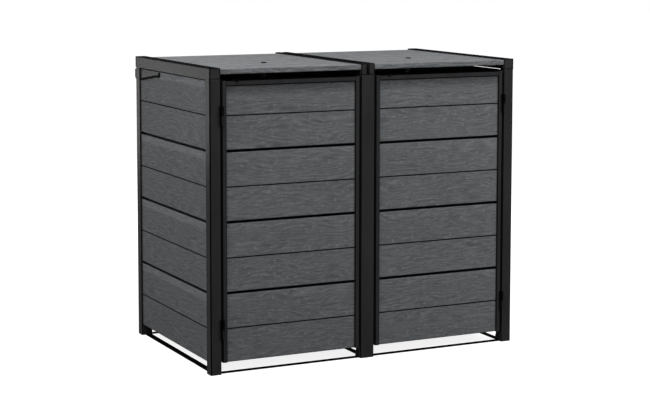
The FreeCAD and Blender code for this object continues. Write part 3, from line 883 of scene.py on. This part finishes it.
screws = {}
for door, first_stile in (("left_door", "_hinge_stile"), ("right_door", "_free_stile")):
    low, high = drawn(door + "_bottom_bar")
    middle = (low.z + high.z) / 2
    screws[door] = [((low.x + x, high.y, middle), BEHIND) for x in BAR_SCREWS]
    low, high = drawn(door + first_stile)
    screws[door] += [((low.x + x, high.y, z), BEHIND)
                     for x in STILE_SCREWS for z in STILE_HEIGHTS]
for lid in ("left_lid", "right_lid"):
    low, high = drawn(lid + "_stiffener")
    middle = (low.x + high.x) / 2
    screws[lid] = [((middle, y, low.z), BELOW) for y in STIFFENER_SCREWS]
low, high = drawn("rear_middle_post")
screws["frame"] = [((x, high.y, z), BEHIND)
                   for x in (CORNER_INSET, STORE_WIDTH - CORNER_INSET) for z in CORNER_HEIGHTS]
screws["frame"] += [((x, high.y, z), BEHIND)
                    for x in (low.x + MIDDLE_INSET, high.x - MIDDLE_INSET)
                    for z in MIDDLE_HEIGHTS]
print("screws:", {body: len(spots) for body, spots in screws.items()})

# %% [markdown]
# ## Screw heads
#
# Each head is turned from one profile: a hexagon socket, a dome and a short rim. An
# instance for each would be easy to make, but the heads of one body are one mesh here,
# which keeps the number of pieces low.

# %% Screw heads
HEAD_PROFILE = ((1.5, 0.9), (1.55, 2.2), (2.6, 2.3), (3.7, 1.9), (4.4, 1.2), (4.6, 0.5),
                (4.6, 0.02))
HEAD_SEGMENTS = 24
SOCKET_RINGS = 2

for body, spots in screws.items():
    edit = bmesh.new()
    for spot, axis in spots:
        lathe(edit, at(*spot), axis, HEAD_PROFILE, HEAD_SEGMENTS, SOCKET_RINGS)
    place_piece(body + "_screws", edit, hardware_coat, body)

# %% [markdown]
# ## Light that only the eye sees
#
# The object stands on a plain pale floor before a white background. The white can be had
# by pouring light on the floor, but that washes the object out too. A Light Path node
# tells what kind of ray asks: the camera and shiny surfaces get a white glow, and the
# light that falls on the object stays plain.

# %% Rays that see the glow
def seen_directly(tree):
    """One for camera, glossy and transmission rays, and zero for the rest."""
    path = tree.nodes.new("ShaderNodeLightPath")
    seen = path.outputs["Is Camera Ray"]
    for name in ("Is Glossy Ray", "Is Transmission Ray"):
        node = tree.nodes.new("ShaderNodeMath")
        node.operation = "MAXIMUM"
        tree.links.new(seen, node.inputs[0])
        tree.links.new(path.outputs[name], node.inputs[1])
        seen = node.outputs[0]
    return seen


print("made:", seen_directly.__name__)

# %% [markdown]
# ## The floor
#
# Near the object the floor's glow is a little under white, so the floor still shows the
# object's shadow. Further out the glow rises to full white, so the floor melts into the
# background without a horizon. A curved backdrop would hide the horizon as well, but it
# would stand in the way when the camera goes round.

# %% Floor
FLOOR_REACH = 30.0
FLOOR_GREY = (0.35, 0.35, 0.35, 1.0)
FLOOR_GLOW = 0.86
GLOW_START = 1.2
GLOW_END = 3.2
WHITE = (1.0, 1.0, 1.0, 1.0)


def make_floor():
    """A large pale floor that melts into the white background."""
    mesh = bpy.data.meshes.new("floor")
    edit = bmesh.new()
    bmesh.ops.create_grid(edit, x_segments=1, y_segments=1, size=FLOOR_REACH)
    edit.to_mesh(mesh)
    edit.free()
    finish = Finish("pale_floor")
    away = finish.add("ShaderNodeVectorMath", operation="LENGTH")
    finish.feed(away, 0, finish.place())
    glow = finish.add("ShaderNodeMapRange")
    for name, value in (("Value", away.outputs["Value"]), ("From Min", GLOW_START),
                        ("From Max", GLOW_END), ("To Min", FLOOR_GLOW)):
        finish.feed(glow, name, value)
    strength = finish.math("MULTIPLY", seen_directly(finish.tree), glow.outputs["Result"])
    for name, value in (("Base Color", FLOOR_GREY), ("Roughness", 1.0),
                        ("Specular IOR Level", 0.0), ("Emission Color", WHITE),
                        ("Emission Strength", strength)):
        finish.surface(name, value)
    mesh.materials.append(finish.material)
    floor = bpy.data.objects.new("floor", mesh)
    scene.collection.objects.link(floor)
    return floor


print("floor is", round(make_floor().dimensions.x, 1), "m wide")

# %% [markdown]
# ## The world
#
# The world is white to the camera and in reflections, and an even, dim fill for all else.
# A sky or a photograph of a studio would light the object as well, but it would tint it.

# %% World
WORLD_FILL = 0.08


def make_world():
    """White where it is seen, and a soft fill where it lights the object."""
    world = bpy.data.worlds.new("studio")
    world.use_nodes = True
    tree = world.node_tree
    background = tree.nodes["Background"]
    background.inputs["Color"].default_value = WHITE
    strength = tree.nodes.new("ShaderNodeMapRange")
    strength.inputs["To Min"].default_value = WORLD_FILL
    strength.inputs["To Max"].default_value = 1.0
    tree.links.new(seen_directly(tree), strength.inputs["Value"])
    tree.links.new(strength.outputs["Result"], background.inputs["Strength"])
    scene.world = world
    return world


print("world:", make_world().name)

# %% [markdown]
# ## The lamps
#
# One strong lamp would be simpler, but it throws hard shadows that the picture hasn't.
# Seven large softboxes give plain, soft studio light from all sides. The one overhead
# lights the lids, those at the right, the left and the front light the walls and doors at
# their own strengths, and two at the back and the far side keep those walls from sinking
# into black. The seventh, a small one behind on the left, is mirrored in the left faces
# of the posts, which fade downwards for that reason. The powers were found by rendering
# each lamp alone and weighing the results against the picture.

# %% Lamps
LAMPS = (
    # name, place, aim, width in metres, power in watts
    ("overhead_softbox", (-0.3, -0.7, 3.4), (-0.1, -0.2, 0.6), 2.4, 53.0),
    ("right_softbox", (2.5, -3.0, 2.4), (0.60, -0.4, 0.6), 1.6, 109.0),
    ("left_softbox", (-3.2, -1.2, 3.0), (-0.7, 0.0, 0.9), 2.0, 92.0),
    ("front_softbox", (-0.8, -4.2, 3.2), (0.0, -0.4, 0.7), 2.0, 20.0),
    ("edge_softbox", (-2.20, 3.9, 0.70), (-0.68, 0.0, 1.0), 0.8, 28.0),
    ("rear_softbox", (-0.4, 4.6, 2.2), (0.1, 0.4, 0.7), 1.8, 72.0),
    ("side_softbox", (4.4, 1.0, 2.2), (0.6, 0.0, 0.7), 1.8, 120.0),
)

for name, place, aim, width, power in LAMPS:
    data = bpy.data.lights.new(name, "AREA")
    data.size = width
    data.energy = power
    lamp = bpy.data.objects.new(name, data)
    scene.collection.objects.link(lamp)
    lamp.location = place
    lamp.rotation_euler = (Vector(aim) - Vector(place)).to_track_quat("-Z", "Y").to_euler()
    lamp.visible_camera = False
    print(name, "at", place, "with", power, "W")

scene.view_settings.view_transform = "Standard"
